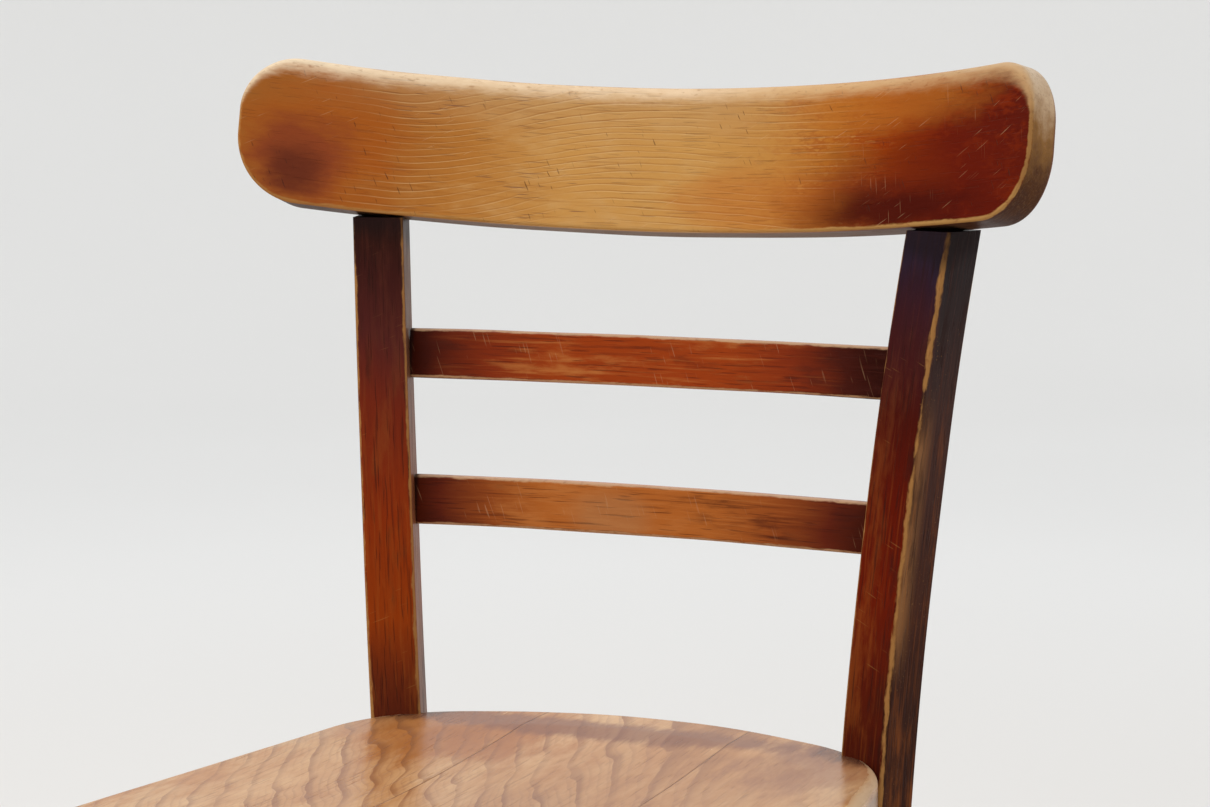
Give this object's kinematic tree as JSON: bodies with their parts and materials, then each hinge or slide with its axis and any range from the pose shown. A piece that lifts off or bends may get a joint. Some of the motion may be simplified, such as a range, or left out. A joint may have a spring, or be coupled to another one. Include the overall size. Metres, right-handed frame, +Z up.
{
  "type": "student desk chair",
  "caption": "Solid-wood classroom chair: curved crest rail on splayed posts, thin bowed back slats, dished seat, tapered legs and a stretcher frame.",
  "frame": {"origin": "on the floor, under the middle of the chair's outline", "axes": "+Z up, the chair faces -Y, +X to the right of someone who looks along +Y at the chair's front"},
  "size_m": [0.476, 0.4494, 0.8329],
  "materials": {
    "crest_wood": "worn stained varnish over honey-coloured wood",
    "frame_wood": "mahogany stain and varnish, worn to ochre along the arrises",
    "slat_wood": "mahogany stain and varnish, worn pale along the edges",
    "seat_wood": "glossy varnish over tan wood with dark growth rings",
    "block_wood": "bare sawn wood",
    "screw_steel": "dull steel",
    "glide_steel": "worn steel"
  },
  "bodies": {
    "root": {"crest_rail": "crest_wood", "back_post_left": "frame_wood", "back_post_right": "frame_wood", "upper_back_slat": "slat_wood", "lower_back_slat": "slat_wood", "seat_board_left": "seat_wood", "seat_board_centre": "seat_wood", "seat_board_right": "seat_wood", "front_leg_left": "frame_wood", "front_leg_right": "frame_wood", "front_apron": "frame_wood", "rear_apron": "frame_wood", "side_apron_left": "frame_wood", "side_apron_right": "frame_wood", "side_stretcher_left": "frame_wood", "side_stretcher_right": "frame_wood", "cross_stretcher": "frame_wood", "corner_block_front_left": "block_wood", "corner_block_front_right": "block_wood", "corner_block_rear_left": "block_wood", "corner_block_rear_right": "block_wood", "block_screws": "screw_steel", "seat_screws": "screw_steel", "foot_glides": "glide_steel"}
  },
  "joints": []
}
